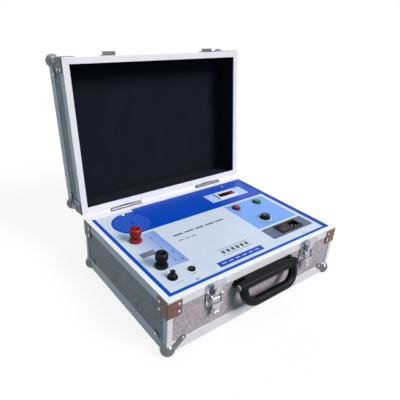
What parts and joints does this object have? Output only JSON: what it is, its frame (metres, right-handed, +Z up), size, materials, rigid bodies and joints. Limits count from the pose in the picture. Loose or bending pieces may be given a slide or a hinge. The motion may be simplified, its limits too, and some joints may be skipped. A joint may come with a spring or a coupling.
{
  "type": "micro ohmmeter",
  "caption": "Low-resistance test set built into a hinged aluminium carrying case, with heavy current posts, potential terminals, a digital meter, push buttons, a dial and a mains inlet.",
  "frame": {"origin": "middle of the flat underside of the base panel", "axes": "+X to the right along the front, +Y to the hinged back, +Z up"},
  "size_m": [0.433, 0.4558, 0.426],
  "materials": {
    "panel_silver": "hammered sheet",
    "panel_floor": "dark covered plywood",
    "rail": "satin anodised",
    "steel": "zinc plated",
    "bright_steel": "bright plated",
    "lining": "dark velour",
    "black_plastic": "satin black moulding",
    "facia": "printed pale grey-blue",
    "white_plastic": "white moulding",
    "red_window": "dark red filter",
    "red_plastic": "red moulding",
    "crimson_plastic": "red cap",
    "green_plastic": "green cap",
    "brass": "machined",
    "grey_paint": "grey paint",
    "rocker_red": "dark red rocker",
    "core": "laminated iron, varnished",
    "coil": "taped winding",
    "board": "green laminate",
    "capacitor": "sleeved can",
    "timber": "planed batten",
    "copper_plate": "plated, warm reflections"
  },
  "bodies": {
    "case": {"base_bottom_panel": "panel_floor", "base_side_panels": "panel_silver", "base_edge_rails": "rail", "base_corner_posts": "rail", "base_rim_rails": "rail", "base_ball_corners": "steel", "base_corner_plates": "copper_plate", "base_rivets": "bright_steel", "hinge_base_leaves": "steel", "hinge_pins": "steel", "latch_plates": "bright_steel", "latch_pivot_pins": "steel", "handle_mount": "black_plastic", "handle_pins": "steel", "facia_plate": "facia", "facia_screws": "bright_steel", "facia_battens": "timber", "meter_bezel": "white_plastic", "meter_window": "red_window", "meter_housing": "black_plastic", "red_post_base": "red_plastic", "black_post_base": "black_plastic", "current_studs": "brass", "potential_sockets": "black_plastic", "potential_contacts": "brass", "button_bezels": "black_plastic", "button_switches": "black_plastic", "dial_pot": "steel", "inlet_plate": "grey_paint", "inlet_housing": "black_plastic", "inlet_pins": "bright_steel", "transformer_core": "core", "transformer_coil": "coil", "main_board": "board", "board_standoffs": "brass", "capacitors": "capacitor"},
    "lid": {"lid_top_panel": "panel_silver", "lid_side_panels": "panel_silver", "lid_edge_rails": "rail", "lid_corner_posts": "rail", "lid_rim_rails": "rail", "lid_ball_corners": "steel", "lid_corner_plates": "copper_plate", "lid_rivets": "bright_steel", "lid_lining": "lining", "hinge_lid_leaves": "steel", "latch_keepers": "bright_steel"},
    "handle": {"handle_grip": "black_plastic"},
    "lever_left": {"latch_lever_left": "bright_steel"},
    "lever_right": {"latch_lever_right": "bright_steel"},
    "hook_left": {"latch_hook_left": "steel"},
    "hook_right": {"latch_hook_right": "steel"},
    "red_knob": {"red_post_knob": "red_plastic"},
    "black_knob": {"black_post_knob": "black_plastic"},
    "cap": {"potential_cap": "black_plastic"},
    "red_push": {"red_button": "crimson_plastic"},
    "green_push": {"green_button": "green_plastic"},
    "dial": {"dial_knob": "black_plastic"},
    "rocker": {"power_rocker": "rocker_red"}
  },
  "joints": [
    {"name": "lid_hinge", "type": "hinge", "parent": "case", "child": "lid", "pos_m": [0, 0.155, 0.109], "axis": [1, 0, 0], "range_deg": [0, 97.5]},
    {"name": "handle_pivot", "type": "hinge", "parent": "case", "child": "handle", "pos_m": [0, -0.163, 0.083], "axis": [-1, 0, 0], "range_deg": [0, 90]},
    {"name": "lever_left_pivot", "type": "hinge", "parent": "case", "child": "lever_left", "pos_m": [-0.118, -0.1565, 0.085], "axis": [-1, 0, 0], "range_deg": [0, 110]},
    {"name": "hook_left_pivot", "type": "hinge", "parent": "lever_left", "child": "hook_left", "pos_m": [-0.118, -0.1555, 0.078], "axis": [-1, 0, 0], "range_deg": [-121, 0]},
    {"name": "lever_right_pivot", "type": "hinge", "parent": "case", "child": "lever_right", "pos_m": [0.118, -0.1565, 0.085], "axis": [-1, 0, 0], "range_deg": [0, 110]},
    {"name": "hook_right_pivot", "type": "hinge", "parent": "lever_right", "child": "hook_right", "pos_m": [0.118, -0.1555, 0.078], "axis": [-1, 0, 0], "range_deg": [-121, 0]},
    {"name": "red_knob_thread", "type": "hinge", "parent": "case", "child": "red_knob", "pos_m": [-0.16296, 0.0273, 0.1062], "axis": [0, 0, 1], "range_deg": [0, 360]},
    {"name": "black_knob_thread", "type": "hinge", "parent": "case", "child": "black_knob", "pos_m": [-0.16548, -0.0645, 0.1062], "axis": [0, 0, 1], "range_deg": [0, 360]},
    {"name": "cap_thread", "type": "hinge", "parent": "case", "child": "cap", "pos_m": [-0.16758, -0.1011, 0.1062], "axis": [0, 0, 1], "range_deg": [0, 360]},
    {"name": "red_push_slide", "type": "slide", "parent": "case", "child": "red_push", "axis": [0, 0, -1], "range_m": [0, 0.003], "stiffness_N_per_m": 400, "springref_m": -0.002},
    {"name": "green_push_slide", "type": "slide", "parent": "case", "child": "green_push", "axis": [0, 0, -1], "range_m": [0, 0.003], "stiffness_N_per_m": 400, "springref_m": -0.002},
    {"name": "dial_turn", "type": "hinge", "parent": "case", "child": "dial", "pos_m": [0.11256, -0.0408, 0.1062], "axis": [0, 0, 1], "range_deg": [-150, 150]},
    {"name": "rocker_tilt", "type": "hinge", "parent": "case", "child": "rocker", "pos_m": [0.10782, -0.0939, 0.1047], "axis": [-1, 0, 0], "range_deg": [0, 16]}
  ],
  "couplings": [
    {"joint": "hook_left_pivot", "follows": "lever_left_pivot", "ratio": -1.1},
    {"joint": "hook_right_pivot", "follows": "lever_right_pivot", "ratio": -1.1}
  ]
}
